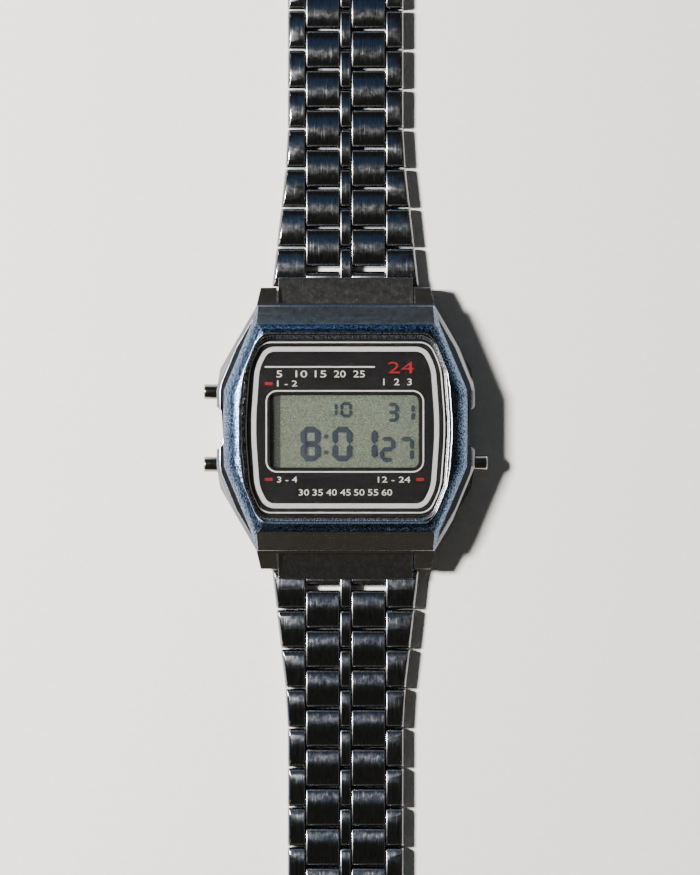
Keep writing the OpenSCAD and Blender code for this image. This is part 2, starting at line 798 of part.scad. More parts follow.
module end_link(side) {
    half_w = lug_x - end_play;
    tab_inner_x = middle_x;
    tab_outer_x = outer_x - column_gap;
    color("#55585d") at_side(side) difference() {
        along_x(-half_w, half_w) end_outline();
        along_x(-tab_inner_x, tab_inner_x) piece_room();
        both_ways() along_x(tab_outer_x, half_w + over) piece_room();
        translate([0, bar_y, bar_z]) rod(bar_d / 2 + pin_play, -half_w - over, half_w + over);
        translate([0, first_pin_y, pin_z]) rod(pin_r + pin_play, -half_w, half_w);
    }
    color("#8f9296") at_side(side) translate([0, first_pin_y, pin_z])
        rod(pin_r, -half_width(0) + 0.2, half_width(0) - 0.2);
}

// Bracelet links

// Side outline of a link piece about its own middle, domed on top, with its two pin holes
module piece_outline() {
    half = piece_len / 2;
    difference() {
        intersection() {
            union() {
                for (end = [-1, 1]) {
                    translate([end * (half - foot_r), foot_r]) circle(foot_r);
                    translate([end * (half - top_r), link_h - top_r]) circle(top_r);
                }
                translate([-half + foot_r, 0]) square([piece_len - 2 * foot_r, link_h - top_r]);
                translate([-half, foot_r]) square([piece_len, link_h - top_r - foot_r]);
                translate([-half + top_r, foot_r]) square([piece_len - 2 * top_r, link_h - foot_r]);
            }
            translate([0, link_h - dome_r]) circle(dome_r, $fn = 180);
        }
        for (end = [-1, 1])
            translate([end * half_pitch / 2, pin_z]) circle(pin_r + pin_play);
    }
}

// Front outline of the space that an outer piece fills, with rounded outer edges at x = 0
module edge_outline() {
    translate([-edge_r, link_h - edge_r]) circle(edge_r);
    translate([-foot_r, foot_r]) circle(foot_r);
    translate([-12, 0]) square([12 - edge_r, link_h]);
    translate([-edge_r - over, foot_r]) square([edge_r + over, link_h - edge_r - foot_r]);
    translate([-edge_r - over, 0]) square([edge_r + over - foot_r, foot_r + 0.1]);
}

// Outer piece whose middle lies at a distance s from the bracelet's first pin
module outer_piece(s) {
    near_x = half_width(s - piece_len / 2);
    far_x = half_width(s + piece_len / 2);
    intersection() {
        along_x(outer_x, near_x + over) piece_outline();
        translate([(near_x + far_x) / 2, 0, 0])
            rotate([0, 0, atan((near_x - far_x) / piece_len)])
                rotate([90, 0, 0]) linear_extrude(piece_len * 2, center = true) edge_outline();
    }
}

// One link: an outer-centre-outer row, a row of two middle pieces and the two pins they carry
module bracelet_link(side, n) {
    start = (n - 1) * pitch;
    row_a = start + half_pitch / 2;
    row_b = row_a + half_pitch;
    color(n % 2 == 0 ? "#4b4e53" : "#5b5e63") at_side(side) translate([0, first_pin_y, 0]) {
        translate([0, row_a, 0]) {
            both_ways() outer_piece(row_a);
            along_x(-centre_w / 2, centre_w / 2) piece_outline();
        }
        translate([0, row_b, 0]) both_ways() along_x(middle_x, middle_x + middle_w) piece_outline();
    }
    last = n == link_count(side);
    color("#8f9296") at_side(side) for (s = [start + half_pitch, start + pitch]) {
        ends = s == start + pitch && last
            ? (side == "12" ? cover_out_x - 0.1 : middle_x + middle_w)
            : half_width(s) - 0.2;
        translate([0, first_pin_y + s, pin_z]) rod(pin_r, -ends, ends);
    }
}

// Clasp

// Side outline of the cover: a sloping nose, a flat top and cheeks round the fold pin
module cover_outline() {
    polygon([[clasp_y - 0.9, 0.4], [clasp_y - 1.1, 1.6], [clasp_y, nose_z + sheet_t],
             [clasp_y + nose_len - 1, clasp_h - 0.15], [clasp_y + nose_len, clasp_h],
             [fold_y + 0.2, clasp_h], [fold_y + 1, clasp_h - 0.5],
             [fold_y + 1.1, 1], [fold_y + 0.7, 0.1], [fold_y - 0.8, 0.1],
             [fold_y - 1.6, 1.1], [clasp_y + 14.5, 1.6], [clasp_y + 4, 1.6],
             [clasp_y + 1.2, 0.4]]);
}

// Side outline of the hollow between the cover's cheeks
module cover_hollow() {
    polygon([[clasp_y - 2, -over], [clasp_y - 2, clasp_h + over], [clasp_y, clasp_h + over],
             [clasp_y, nose_z], [clasp_y + nose_len - 0.9, cover_under_z - 0.1],
             [clasp_y + nose_len, cover_under_z], [fold_y + 2, cover_under_z],
             [fold_y + 2, -over]]);
}

// Side outline of the knuckles that hang from the cover's nose round the last link's pin
module knuckle_outline() {
    translate([clasp_y, pin_z]) circle(1.1);
    polygon([[clasp_y, pin_z - 1.1], [clasp_y + 2.4, 1.6], [clasp_y + 2.4, 3.9],
             [clasp_y + 0.05, nose_z + 0.1], [clasp_y, pin_z + 1.1]]);
}

module clasp_cover() {
    color("#54575c") difference() {
        union() {
            difference() {
                along_x(-cover_out_x, cover_out_x) cover_outline();
                along_x(-cover_in_x, cover_in_x) cover_hollow();
            }
            for (place = [[-centre_w / 2, centre_w / 2], [outer_x, cover_in_x - 0.3],
                          [-cover_in_x + 0.3, -outer_x]])
                along_x(place[0], place[1]) knuckle_outline();
        }
        translate([0, clasp_y, pin_z])
            rod(pin_r + pin_play, -cover_out_x - over, cover_out_x + over);
        translate([0, fold_y, fold_z])
            rod(clasp_pin_d / 2 + pin_play, -cover_out_x - over, cover_out_x + over);
    }
}

module clasp_blade() {
    color("#606368") difference() {
        union() {
            translate([-blade_x, slide_pin_y, 0.1])
                cube([2 * blade_x, fold_y - slide_pin_y, sheet_t]);
            translate([0, slide_pin_y, slide_pin_z]) rod(blade_roll_r, -blade_x, blade_x);
            translate([0, fold_y, fold_z]) rod(0.8, -blade_x, blade_x);
        }
        translate([0, slide_pin_y, slide_pin_z]) rod(clasp_pin_d / 2 + pin_play, -9, 9);
        translate([0, fold_y, fold_z]) rod(clasp_pin_d / 2 + pin_play, -9, 9);
        for (x = [-3.4, 3.4]) translate([x, (slide_pin_y + fold_y) / 2, 0])
            cube([2.2, 8, 3], center = true);
    }
}

module clasp_slide() {
    color("#54575c") difference() {
        union() {
            translate([-slide_out_x, slide_y, slide_floor_z])
                cube([2 * slide_out_x, slide_len, slide_top_z - slide_floor_z]);
            both_ways() {
                translate([cheek_x, slide_end_y - 0.2, 0.1]) cube([cheek_t, 1.1, 1.5]);
                translate([0, slide_pin_y, slide_pin_z])
                    rod(blade_roll_r, cheek_x, cheek_x + cheek_t);
                translate([cheek_x, slide_y, 0.1]) cube([cheek_t, 1.3, 1]);
            }
        }
        translate([-slide_in_x, slide_y - over, slot_z])
            cube([2 * slide_in_x, slide_len + 2 * over, link_h + 0.15]);
        translate([0, slide_pin_y, slide_pin_z]) rod(clasp_pin_d / 2 + pin_play, -9, 9);
        translate([0, lock_pin_y, lock_pin_z]) rod(0.3, -9, 9);
    }
}

module clasp_lock_lever() {
    color("#6b6e73") difference() {
        union() {
            translate([0, lock_pin_y, lock_pin_z]) rod(lock_roll_r, -blade_x, blade_x);
            translate([-blade_x, lock_pin_y, lock_pin_z - lock_roll_r])
                cube([2 * blade_x, slide_len - 1.4, sheet_t]);
        }
        translate([0, lock_pin_y, lock_pin_z]) rod(0.3, -9, 9);
    }
}

module clasp_fold_pin() {
    color("#8f9296") translate([0, fold_y, fold_z])
        rod(clasp_pin_d / 2, -cover_out_x + 0.05, cover_out_x - 0.05);
}

module clasp_slide_pin() {
    color("#8f9296") translate([0, slide_pin_y, slide_pin_z])
        rod(clasp_pin_d / 2, -cheek_x - cheek_t, cheek_x + cheek_t);
}

module clasp_lock_pin() {
    color("#8f9296") translate([0, lock_pin_y, lock_pin_z])
        rod(0.25, -cheek_x - cheek_t, cheek_x + cheek_t);
}

case();
crystal();
dial_plate();
lcd_panel();
lcd_connectors();
module_frame();
circuit_board();
lamp();
battery();
battery_clip();
buzzer_disc();
buzzer_spring();
switch_contacts();
back_gasket();
case_back();
back_screws();
button_seals();
for (b = BUTTONS) {
    button(b);
    button_spring(b);
    button_clip(b);
}
for (s = SIDES) {
    spring_bar(s);
    end_link(s);
    for (n = [1:link_count(s)])
        bracelet_link(s, n);
}
clasp_cover();
clasp_blade();
clasp_slide();
clasp_lock_lever();
clasp_fold_pin();
clasp_slide_pin();
clasp_lock_pin();
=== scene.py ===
# %% [markdown]
# # A digital wristwatch on a steel link bracelet
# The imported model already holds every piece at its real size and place. This lesson gives those
# pieces what a drawing office leaves out: broken edges, brushed and polished finishes, the print
# on the dial, the digits of the display, and the light to see them by.

# %% Load the frame
import json
import math

import bpy
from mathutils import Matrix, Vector

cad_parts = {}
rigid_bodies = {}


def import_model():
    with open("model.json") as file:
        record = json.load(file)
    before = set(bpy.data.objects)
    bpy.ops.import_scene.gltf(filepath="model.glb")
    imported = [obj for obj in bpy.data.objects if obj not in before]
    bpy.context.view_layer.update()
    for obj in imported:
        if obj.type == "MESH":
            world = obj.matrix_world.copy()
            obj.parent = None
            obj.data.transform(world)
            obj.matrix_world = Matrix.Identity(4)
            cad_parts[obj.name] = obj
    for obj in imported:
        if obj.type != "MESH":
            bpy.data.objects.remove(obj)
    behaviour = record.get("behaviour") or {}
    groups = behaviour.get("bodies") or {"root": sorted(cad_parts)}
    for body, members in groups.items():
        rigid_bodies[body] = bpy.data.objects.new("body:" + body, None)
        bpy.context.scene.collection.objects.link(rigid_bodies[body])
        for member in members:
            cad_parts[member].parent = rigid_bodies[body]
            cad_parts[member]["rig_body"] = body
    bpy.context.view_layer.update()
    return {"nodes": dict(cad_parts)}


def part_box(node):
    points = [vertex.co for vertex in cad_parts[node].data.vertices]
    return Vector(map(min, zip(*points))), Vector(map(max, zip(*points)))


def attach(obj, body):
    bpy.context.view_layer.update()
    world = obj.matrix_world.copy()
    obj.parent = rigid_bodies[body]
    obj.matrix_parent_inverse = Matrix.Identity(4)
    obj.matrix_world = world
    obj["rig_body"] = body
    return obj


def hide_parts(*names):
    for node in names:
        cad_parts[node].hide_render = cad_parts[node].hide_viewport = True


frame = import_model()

MM = 0.001

# %% [markdown]
# ## The camera
# The watch lies open on a table and is looked at from straight above, with 12 o'clock up. A long
# lens half a metre away keeps the bracelet's sides parallel, as a product photographer would.

# %% Place the camera
VIEW_DISTANCE = 0.5
VIEW_LENGTH = 114.4 * MM
VIEW_CENTRE = Vector((0.575 * MM, -1.2 * MM, 4 * MM))
SENSOR = 36

bpy.ops.object.camera_add(location=VIEW_CENTRE + Vector((0, 0, VIEW_DISTANCE)))
camera = bpy.context.active_object
camera.name = "camera"
camera.data.sensor_width = SENSOR
camera.data.lens = SENSOR * VIEW_DISTANCE / VIEW_LENGTH
camera.data.clip_start = 0.01
bpy.context.scene.camera = camera
print("lens", round(camera.data.lens), "mm")

# %% [markdown]
# ## Colours and nodes
# Paint and print are quoted as sRGB hex values, while a shader works in linear light, so one
# function turns the first into the second. A second small function adds a node, sets it and
# links it, because every finish below is a short chain of such nodes. Patterns are sized in real
# millimetres, and the last function gives the scale for that.

# %% Helpers for materials
def linear(hex_colour):
    """Turns an sRGB hex colour into the linear colour that a shader takes."""
    channels = [int(hex_colour[i:i + 2], 16) / 255 for i in (0, 2, 4)]
    return [c / 12.92 if c <= 0.04045 else ((c + 0.055) / 1.055) ** 2.4 for c in channels] + [1]


def add_node(material, kind, inputs, **settings):
    """Adds a node. Each input gets a value, or is linked to another node's output."""
    node = material.node_tree.nodes.new(kind)
    for name, value in settings.items():
        setattr(node, name, value)
    for name, value in inputs.items():
        if isinstance(value, bpy.types.NodeSocket):
            material.node_tree.links.new(value, node.inputs[name])
        else:
            node.inputs[name].default_value = value
    return node


def new_finish(name, **sockets):
    """Makes a material with its shader, and sets the shader's sockets. Underscores are spaces."""
    material = bpy.data.materials.new(name)
    material.use_nodes = True
    shader = material.node_tree.nodes["Principled BSDF"]
    for socket, value in sockets.items():
        shader.inputs[socket.replace("_", " ")].default_value = value
    return material, shader


def link(material, output, socket):
    """Links a node's output to a socket of the shader."""
    material.node_tree.links.new(output, socket)


def per_mm(x, y, z):
    """Mapping scale at which one unit of a pattern measures x, y and z millimetres."""
    return (1 / (x * MM), 1 / (y * MM), 1 / (z * MM))


print("white is", linear("FFFFFF"), "and a 0.1 mm grain is scaled by", round(per_mm(0.1, 1, 1)[0]))


# %% [markdown]
# ## Brushed steel
# The tops of the links, the flat slopes of the case and the clasp are stainless steel, brushed
# with an abrasive belt. The belt leaves fine grooves in one direction. They spread a reflection
# across the grooves and keep it sharp along them, so a light becomes one thin bright line across
# each link. Real grooves are about 0.02 mm wide. They are drawn 0.07 to 0.2 mm wide here, so that
# they still show when a link is only forty pixels long. An anisotropic metal gives the line, and
# stretched noise gives the grooves, the odd deeper scratch and the smudges of handling. The
# links' base colours are darker than bare steel, to match the photograph. That darkness is painted
# shade, which dims the links and their lines of light.

# %% The brushed finish
GROOVE_LENGTH = 5
SCRATCH, SCRATCH_LENGTH = 0.22, 9
SMUDGE = 0.7
GROOVE_DEPTH = 0.01
UNEVEN_GLOSS = 0.035


def brushed_steel(name, dark, light, rough, along="Y", groove=0.07, depth=1.0, spread=0.75):
    """Steel brushed along X or Y, with grooves of a width in mm, deeper or shallower than usual."""
    steel, shader = new_finish(name, Metallic=1.0, Anisotropic=spread)
    across = (1, 0, 0) if along == "Y" else (0, 1, 0)
    stretch = {"Y": per_mm(groove, GROOVE_LENGTH, groove),
               "X": per_mm(GROOVE_LENGTH, groove, groove)}[along]
    hairline = {"Y": per_mm(SCRATCH, SCRATCH_LENGTH, SCRATCH),
                "X": per_mm(SCRATCH_LENGTH, SCRATCH, SCRATCH)}[along]
    place = add_node(steel, "ShaderNodeTexCoord", {}).outputs["Object"]
    belt = add_node(steel, "ShaderNodeMapping", {"Vector": place, "Scale": stretch})
    grooves = add_node(steel, "ShaderNodeTexNoise",
                       {"Vector": belt.outputs[0], "Scale": 1, "Detail": 3, "Roughness": 0.6})
    nicks = add_node(steel, "ShaderNodeMapping", {"Vector": place, "Scale": hairline})
    scratches = add_node(steel, "ShaderNodeTexNoise",
                         {"Vector": nicks.outputs[0], "Scale": 1, "Detail": 1})
    deep = add_node(steel, "ShaderNodeMapRange",
                    {"Value": scratches.outputs[0], "From Min": 0.64, "From Max": 0.7})
    skin = add_node(steel, "ShaderNodeMapping",
                    {"Vector": place, "Scale": per_mm(SMUDGE, SMUDGE, SMUDGE)})
    smudges = add_node(steel, "ShaderNodeTexNoise",
                       {"Vector": skin.outputs[0], "Scale": 1, "Detail": 4, "Roughness": 0.6})
    tint = add_node(steel, "ShaderNodeValToRGB", {"Fac": grooves.outputs[0]})
    tint.color_ramp.elements[0].position, tint.color_ramp.elements[0].color = 0.3, linear(dark)
    tint.color_ramp.elements[1].position, tint.color_ramp.elements[1].color = 0.7, linear(light)
    gloss = add_node(steel, "ShaderNodeMapRange",
                     {"Value": smudges.outputs[0], "From Min": 0.3, "From Max": 0.7,
                      "To Min": rough - UNEVEN_GLOSS, "To Max": rough + UNEVEN_GLOSS})
    dull = add_node(steel, "ShaderNodeMath",
                    {0: deep.outputs[0], 1: 0.05, 2: gloss.outputs[0]}, operation="MULTIPLY_ADD")
    relief = add_node(steel, "ShaderNodeMath",
                      {0: deep.outputs[0], 1: -0.15, 2: grooves.outputs[0]},
                      operation="MULTIPLY_ADD")
    bump = add_node(steel, "ShaderNodeBump", {"Height": relief.outputs[0], "Strength": 0.5,
                                              "Distance": GROOVE_DEPTH * depth * MM})
    cross = add_node(steel, "ShaderNodeCombineXYZ", dict(zip("XYZ", across)))
    turned = add_node(steel, "ShaderNodeVectorTransform", {"Vector": cross.outputs[0]},
                      vector_type="VECTOR", convert_from="OBJECT", convert_to="WORLD")
    link(steel, tint.outputs["Color"], shader.inputs["Base Color"])
    link(steel, dull.outputs[0], shader.inputs["Roughness"])
    link(steel, bump.outputs[0], shader.inputs["Normal"])
    link(steel, turned.outputs[0], shader.inputs["Tangent"])
    return steel


# %% Brush the steels of the watch
# Painted shade: the links' base colours are darker than bare steel, to dim them.
link_steel = brushed_steel("link_steel_brushed", "606266", "96989C", 0.12, groove=0.12, depth=2,
                           spread=0.95)
end_steel = brushed_steel("end_link_steel_brushed", "929294", "A8A8AA", 0.24, groove=0.1, depth=0.3)
# Painted shade: the outer pieces' base colours, too, are darker than bare steel.
outer_steel = brushed_steel("link_side_steel_brushed", "66686C", "9A9CA0", 0.13, groove=0.2,
                            spread=0.94)
slope_steel = brushed_steel("case_slope_steel_satin", "C6C2BC", "D0CDC8", 0.16, "X", 0.1, 0.2)
clasp_steel = brushed_steel("clasp_steel_brushed", "7C7D80", "A4A5A8", 0.32)
back_steel = brushed_steel("back_steel_brushed", "8E8F91", "B4B5B7", 0.34, "X")
print("brushed finishes:", [finish.name for finish in bpy.data.materials if "steel" in finish.name])

# %% [markdown]
# ## Polished steel
# The flanks of the case, the buttons and every broken edge are buffed on a felt wheel. A buffed
# surface is close to a mirror, but it waves a little and picks up fine scratches. Low, slow noise
# bends the reflections. A second noise, thin and turned out of every axis, leaves the scratches
# and dulls the mirror along them. The base colour of the flanks, too, is darker than bare steel,
# to match the photograph. That darkness is painted shade, for the shaded surroundings that the
# flanks mirror.

# %% The polished finish
HAIR = (0.06, 0.9, 0.2)
HAIR_TURN = (0.4, 0.3, 0.7)
WAVE_DEPTH = 0.006


def polished_steel(name, colour, rough, wave_mm=1.4):
    """Buffed steel whose mirror waves over a distance in millimetres."""
    steel, shader = new_finish(name, Base_Color=linear(colour), Metallic=1.0)
    place = add_node(steel, "ShaderNodeTexCoord", {}).outputs["Object"]
    slow = add_node(steel, "ShaderNodeMapping",
                    {"Vector": place, "Scale": per_mm(wave_mm, wave_mm, wave_mm)})
    waves = add_node(steel, "ShaderNodeTexNoise",
                     {"Vector": slow.outputs[0], "Scale": 1, "Detail": 2})
    fine = add_node(steel, "ShaderNodeMapping",
                    {"Vector": place, "Rotation": HAIR_TURN, "Scale": per_mm(*HAIR)})
    hairs = add_node(steel, "ShaderNodeTexNoise",
                     {"Vector": fine.outputs[0], "Scale": 1, "Detail": 3})
    worn = add_node(steel, "ShaderNodeMapRange",
                    {"Value": hairs.outputs[0], "From Min": 0.5, "From Max": 0.75,
                     "To Min": rough, "To Max": rough + 0.16})
    height = add_node(steel, "ShaderNodeMath",
                      {0: hairs.outputs[0], 1: 0.05, 2: waves.outputs[0]}, operation="MULTIPLY_ADD")
    bump = add_node(steel, "ShaderNodeBump", {"Height": height.outputs[0], "Strength": 0.4,
                                              "Distance": WAVE_DEPTH * MM})
    link(steel, worn.outputs[0], shader.inputs["Roughness"])
    link(steel, bump.outputs[0], shader.inputs["Normal"])
    return steel


# %% Polish the steels of the watch
# Painted shade: the flanks' base colour is darker than bare steel.
flank_steel = polished_steel("case_flank_steel_polished", "74777C", 0.12)
edge_steel = polished_steel("edge_steel_burnished", "B4B8BE", 0.24, 0.8)
button_steel = polished_steel("button_steel_polished", "8C8880", 0.12, 0.6)
pin_steel = polished_steel("pin_steel_turned", "A2A4A8", 0.24, 0.5)
print("polished finishes:", [steel.name for steel in (flank_steel, edge_steel, button_steel,
                                                      pin_steel)])

# %% [markdown]
# ## The grained ring
# The raised ring round the crystal is blasted with fine beads. The beads leave dimples of about
# 0.1 mm that break a reflection into speckles. They are drawn twice as coarse, so that they show
# at the size of the photograph. The dimples are tinted from near black to a blue-grey. That tint
# is painted reflection: the cold dark blue that the ring mirrors is painted into its colour, so
# that it keeps that look in studio light.

# %% The bead-blasted finish
DIMPLE = 0.2
DIMPLE_DEPTH = 0.05

ring_steel, ring_shader = new_finish("ring_steel_blasted", Metallic=1.0)
ring_place = add_node(ring_steel, "ShaderNodeTexCoord", {}).outputs["Object"]
ring_map = add_node(ring_steel, "ShaderNodeMapping",
                    {"Vector": ring_place, "Scale": per_mm(DIMPLE, DIMPLE, DIMPLE)})
dimples = add_node(ring_steel, "ShaderNodeTexNoise",
                   {"Vector": ring_map.outputs[0], "Scale": 1, "Detail": 2, "Roughness": 0.6})
# Painted reflection: the dimples' near-black to blue-grey tint stands in for the dark cold blue
# that the ring mirrors.
ring_reflection_tint = add_node(ring_steel, "ShaderNodeValToRGB", {"Fac": dimples.outputs[0]})
for stop, (position, colour) in zip(ring_reflection_tint.color_ramp.elements,
                                    [(0.42, "0F1622"), (0.62, "7F9ABF")]):
    stop.position, stop.color = position, linear(colour)
ring_bump = add_node(ring_steel, "ShaderNodeBump",
                     {"Height": dimples.outputs[0], "Strength": 0.9,
                      "Distance": DIMPLE_DEPTH * MM})
ring_shader.inputs["Roughness"].default_value = 0.24
link(ring_steel, ring_reflection_tint.outputs["Color"], ring_shader.inputs["Base Color"])
link(ring_steel, ring_bump.outputs[0], ring_shader.inputs["Normal"])
print("the ring's dimples are", DIMPLE, "mm wide")

# %% [markdown]
# ## Crystal, dial and display
# The crystal is a flat pane of mineral glass, and the display is a sandwich of two more panes
# with the liquid crystal between them and a grained foil behind. Clear glass would throw a black
# shadow, because a path tracer rarely finds a lamp through it, so the panes later cast none.
# The dial is a printed plate: a matt black ground with thin raised inks. The foil is what gives
# a display its grey-green sparkle, and its digits are dark crystals a little above it. Under the
# crystal all of these came out lighter than in the photograph. Their colours are therefore set
# darker than such inks and foils are, and they have almost no sheen of their own.

# %% The two glasses
crystal_glass, _ = new_finish("crystal_mineral_glass", Base_Color=linear("FFFFFF"),
                              Roughness=0.0, IOR=1.5, Transmission_Weight=1.0)
pane_glass, _ = new_finish("display_pane_glass", Base_Color=linear("F4F7EE"),
                           Roughness=0.02, IOR=1.45, Transmission_Weight=1.0)
print("glasses:", crystal_glass.name, "and", pane_glass.name)


# %% The fine-grained finish
def fine_grain(name, dark, light, grain_mm, rough, depth_mm, metal=0.0):
    """A surface of small even grains between two colours, such as print, foil or plastic."""
    finish, shader = new_finish(name, Roughness=rough, Metallic=metal)
    place = add_node(finish, "ShaderNodeTexCoord", {}).outputs["Object"]
    scale = add_node(finish, "ShaderNodeMapping",
                     {"Vector": place, "Scale": per_mm(grain_mm, grain_mm, grain_mm)})
    grains = add_node(finish, "ShaderNodeTexNoise",
                      {"Vector": scale.outputs[0], "Scale": 1, "Detail": 4, "Roughness": 0.65})
    tint = add_node(finish, "ShaderNodeValToRGB", {"Fac": grains.outputs[0]})
    tint.color_ramp.elements[0].position, tint.color_ramp.elements[0].color = 0.35, linear(dark)
    tint.color_ramp.elements[1].position, tint.color_ramp.elements[1].color = 0.65, linear(light)
    bump = add_node(finish, "ShaderNodeBump", {"Height": grains.outputs[0], "Strength": 0.4,
                                               "Distance": depth_mm * MM})
    link(finish, tint.outputs["Color"], shader.inputs["Base Color"])
    link(finish, bump.outputs[0], shader.inputs["Normal"])
    return finish


# %% Lacquer, inks and foil
dial_black = fine_grain("dial_black_lacquer", "060607", "0C0C0D", 0.25, 0.7, 0.004)
ink_grey = fine_grain("ink_light_grey", "6F6F71", "7B7B7D", 0.12, 0.8, 0.003)
ink_white = fine_grain("ink_white", "7C7C7A", "8E8E8C", 0.1, 0.8, 0.003)
ink_red = fine_grain("ink_red", "470A0C", "5A1113", 0.12, 0.8, 0.003)
foil = fine_grain("display_foil_grained", "272B28", "4A4F48", 0.16, 0.7, 0.006)
liquid = fine_grain("display_liquid_crystal", "12161D", "1E232C", 0.18, 0.7, 0.002)
# Painted shade: the dark grey of the strip beside the digits, for the display's shaded edge.
shade_strip_grey = fine_grain("display_shade_strip_grey", "1E2022", "252726", 0.2, 0.7, 0.003)
UNDER_GLASS = (dial_black, ink_grey, ink_white, ink_red, foil, liquid, shade_strip_grey)
for matt in UNDER_GLASS:
    matt.node_tree.nodes["Principled BSDF"].inputs["Specular IOR Level"].default_value = 0.06
print("finishes under the crystal:", len(UNDER_GLASS))

# %% [markdown]
# ## Plastics, rubber, brass and the board
# Inside the case a moulded frame carries a board, a coin cell and gilt contacts. Nothing shows
# them while the watch is closed, yet they are finished as they are: spark-eroded black plastic,
# matt rubber, bright rolled brass, and a green solder mask with a woven glass ground.

# %% Finishes of the inner pieces
black_plastic = fine_grain("frame_plastic_eroded", "1B1B1C", "2A2A2B", 0.2, 0.55, 0.01)
seal_rubber = fine_grain("seal_rubber_matt", "151515", "222222", 0.3, 0.75, 0.008)
board_green = fine_grain("board_solder_mask", "15432B", "1E5A3B", 0.4, 0.38, 0.006)
strip_rubber = fine_grain("connector_rubber_striped", "8A6E6A", "C9A4A0", 0.1, 0.65, 0.004)
lamp_plastic = fine_grain("lamp_cover_moulded", "C9C39A", "DDD8B2", 0.5, 0.25, 0.003)
brass = fine_grain("contact_brass_rolled", "A8843A", "C9A556", 0.5, 0.26, 0.004, metal=1.0)
cell_steel = fine_grain("cell_steel_nickelled", "A9AAAC", "C2C3C5", 0.6, 0.27, 0.005, metal=1.0)
wire_steel = fine_grain("spring_wire_drawn", "97989B", "B9BABD", 0.15, 0.3, 0.003, metal=1.0)
print("finishes so far:", len(bpy.data.materials))

# %% [markdown]
# ## Soft edges on the metal
# No stamped or milled edge is truly sharp. Broken edges catch the light as fine bright lines, and
# on this watch they draw the whole bracelet. Each visible piece is therefore a copy of its CAD
# solid: the loose triangles are merged, flat areas become single faces, and a small bevel runs
# along every sharp edge. The bevel gets the burnished finish, because edges wear bright. An edge
# counts as sharp where it turns by more than 35 degrees, which leaves the domes round.

# %% Choose a piece and give it its place in the watch
WELD = 0.002 * MM
FLAT = math.radians(1)
SHARP = math.radians(35)


def choose(*pieces):
    """Selects these pieces and nothing else, and makes the first one active."""
    bpy.ops.object.select_all(action="DESELECT")
    for piece in pieces:
        piece.select_set(True)
    bpy.context.view_layer.objects.active = pieces[0]


def stand_for(piece, slot, *nodes):
    """Lets a piece stand for CAD nodes of one body and move with that body. The slot is not used.
    """
    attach(piece, frame["nodes"][nodes[0]]["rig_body"])
    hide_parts(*nodes)


print("edges count as sharp from", round(math.degrees(SHARP)), "degrees")


# %% Smooth the metal and break its edges
def smooth_metal(piece, crease=SHARP):
    """Shades a piece smooth between its creases and keeps its flat faces flat."""
    choose(piece)
    bpy.ops.object.shade_smooth_by_angle(angle=crease)
    bpy.ops.object.modifier_add(type="WEIGHTED_NORMAL")
    piece.modifiers[-1].keep_sharp = True
    bpy.ops.object.modifier_apply(modifier=piece.modifiers[-1].name)


def dress(node, slot, finish, edge_mm=0.07, edges=edge_steel):
    """Copies a CAD node, breaks its sharp edges and finishes its faces and edges."""
    piece = bpy.data.objects.new("dressed_" + node, frame["nodes"][node].data.copy())
    bpy.context.scene.collection.objects.link(piece)
    piece.data.materials.clear()
    piece.data.materials.append(finish)
    piece.data.materials.append(edges)
    choose(piece)
    bpy.ops.mesh.customdata_custom_splitnormals_clear()
    bpy.ops.object.mode_set(mode="EDIT")
    bpy.ops.mesh.select_all(action="SELECT")
    bpy.ops.mesh.remove_doubles(threshold=WELD)
    bpy.ops.mesh.dissolve_limited(angle_limit=FLAT)
    bpy.ops.object.mode_set(mode="OBJECT")
    for face in piece.data.polygons:
        face.material_index = 0
    bpy.ops.object.modifier_add(type="BEVEL")
    bevel = piece.modifiers[-1]
    bevel.width = edge_mm * MM
    bevel.segments = 2
    bevel.limit_method = "ANGLE"
    bevel.angle_limit = SHARP
    bevel.use_clamp_overlap = False
    bevel.material = 1
    bpy.ops.object.modifier_apply(modifier=bevel.name)
    smooth_metal(piece)
    stand_for(piece, slot, node)
    return piece


# %% [markdown]
# ## The case
# One milled steel case carries three finishes. They meet at its edges, so they are told apart
# by where a face lies and which way it looks: the blasted ring is the top of the case between
# the end slopes, the slopes and lugs are satin, and the flanks are polished.

# %% Finish the case
RING_FOOT = 6.1 * MM
RING_LENGTH = 13.51 * MM
RING_LOOKS_UP = 0.2
SATIN_LOOKS_UP = 0.75
WALL_LOOKS_IN = -0.2
RING, SATIN = 2, 3

case = dress("case", "steel_case", flank_steel, 0.06)
case.data.materials.append(ring_steel)
case.data.materials.append(slope_steel)
for face in case.data.polygons:
    on_ring = face.center.z > RING_FOOT and abs(face.center.y) < RING_LENGTH
    looks_in = face.normal.xy.dot(face.center.xy) < WALL_LOOKS_IN * face.center.xy.length
    if face.material_index > 0 or looks_in:
        continue
    if on_ring and face.normal.z > RING_LOOKS_UP:
        face.material_index = RING
    elif face.normal.z > SATIN_LOOKS_UP:
        face.material_index = SATIN
print("ring faces:", sum(face.material_index == RING for face in case.data.polygons))

# %% [markdown]
# The ring is rounded and the slopes are flat, and the shading mustn't run from one to the other.
# An edge between the two finishes is therefore marked sharp before the case is smoothed again.

# %% Part the ring from the slopes
finishes_at = {}
for face in case.data.polygons:
    for edge in face.edge_keys:
        finishes_at.setdefault(edge, set()).add(face.material_index)
for edge in case.data.edges:
    if finishes_at[edge.key] == {RING, SATIN}:
        edge.use_edge_sharp = True
smooth_metal(case)
print("case faces:", len(case.data.polygons))

# %% [markdown]
# ## Buttons, bars, links and clasp
# The remaining metal pieces are each one solid or one row of solids, so they are dressed in
# loops. The outer pieces of a link are brushed more coarsely than the middle ones, and they are
# found by how far they lie from the middle of the bracelet.

